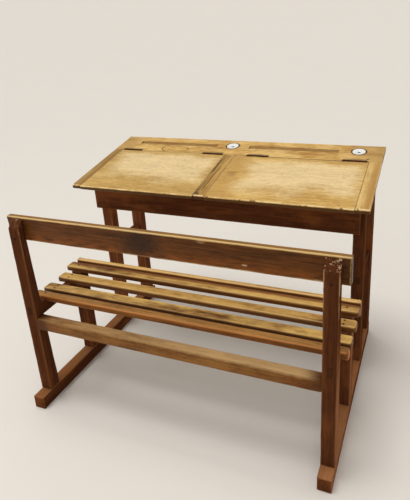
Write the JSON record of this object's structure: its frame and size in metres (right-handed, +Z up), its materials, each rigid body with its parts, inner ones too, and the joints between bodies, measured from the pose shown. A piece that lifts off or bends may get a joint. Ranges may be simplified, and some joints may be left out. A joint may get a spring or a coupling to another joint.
{
  "type": "school desk with lift lid",
  "caption": "Wooden school desk with lift lids, inkwells and pen grooves, joined to a slatted bench with a backrest by floor runners.",
  "frame": {"origin": "on the floor, midway across the width and midway along the depth", "axes": "+X to the sitters' right, +Y from the bench towards the desk, +Z up"},
  "size_m": [1.033, 0.8189, 0.7335],
  "materials": {
    "top_wood": "worn golden varnish, pale where rubbed",
    "seat_wood": "worn brown varnish, pale on the edges",
    "frame_wood": "dark red-brown stain, worn on the edges",
    "inside_wood": "bare aged wood",
    "iron": "dark rusty iron",
    "porcelain": "glossy white glaze"
  },
  "bodies": {
    "frame": {"apron_nails": "iron", "back_post_left": "frame_wood", "back_post_right": "frame_wood", "backrest_board": "frame_wood", "backrest_screws": "iron", "bench_leg_left": "frame_wood", "bench_leg_right": "frame_wood", "box_back": "inside_wood", "box_divider": "inside_wood", "box_floor": "inside_wood", "box_side_left": "frame_wood", "box_side_right": "frame_wood", "desk_back_leg_left": "frame_wood", "desk_back_leg_right": "frame_wood", "desk_front_leg_left": "frame_wood", "desk_front_leg_right": "frame_wood", "front_apron": "frame_wood", "hinge_1_fixed_leaf": "iron", "hinge_1_pin": "iron", "hinge_2_fixed_leaf": "iron", "hinge_2_pin": "iron", "hinge_3_fixed_leaf": "iron", "hinge_3_pin": "iron", "hinge_4_fixed_leaf": "iron", "hinge_4_pin": "iron", "hinge_screws_fixed": "iron", "ink_rail": "top_wood", "lower_back_rail": "seat_wood", "runner_left": "frame_wood", "runner_right": "frame_wood", "seat_bearer_left": "frame_wood", "seat_bearer_right": "frame_wood", "seat_front_rail": "seat_wood", "seat_nails": "iron", "seat_rear_rail": "seat_wood", "seat_slat_front": "seat_wood", "seat_slat_middle": "seat_wood", "seat_slat_rear": "seat_wood", "side_stretcher_left": "frame_wood", "side_stretcher_right": "frame_wood", "top_rail_centre": "top_wood", "top_rail_left": "top_wood", "top_rail_right": "top_wood"},
    "lid_left": {"lid_left_battens": "inside_wood", "lid_left_board": "top_wood", "lid_left_screws": "iron", "hinge_1_lid_leaf": "iron", "hinge_2_lid_leaf": "iron"},
    "lid_right": {"lid_right_battens": "inside_wood", "lid_right_board": "top_wood", "lid_right_screws": "iron", "hinge_3_lid_leaf": "iron", "hinge_4_lid_leaf": "iron"},
    "inkwell_centre": {"inkwell_centre": "porcelain"},
    "inkwell_right": {"inkwell_right": "porcelain"}
  },
  "joints": [
    {"name": "lid_left_hinge", "type": "hinge", "parent": "frame", "child": "lid_left", "pos_m": [0, 0.28385, 0.71214], "axis": [-1, 0, 0], "range_deg": [0, 105]},
    {"name": "lid_right_hinge", "type": "hinge", "parent": "frame", "child": "lid_right", "pos_m": [0, 0.28385, 0.71214], "axis": [-1, 0, 0], "range_deg": [0, 105]},
    {"name": "inkwell_centre_lift", "type": "slide", "parent": "frame", "child": "inkwell_centre", "axis": [0, -0.1736, 0.9848], "range_m": [0, 0.06]},
    {"name": "inkwell_right_lift", "type": "slide", "parent": "frame", "child": "inkwell_right", "axis": [0, -0.1736, 0.9848], "range_m": [0, 0.06]}
  ]
}
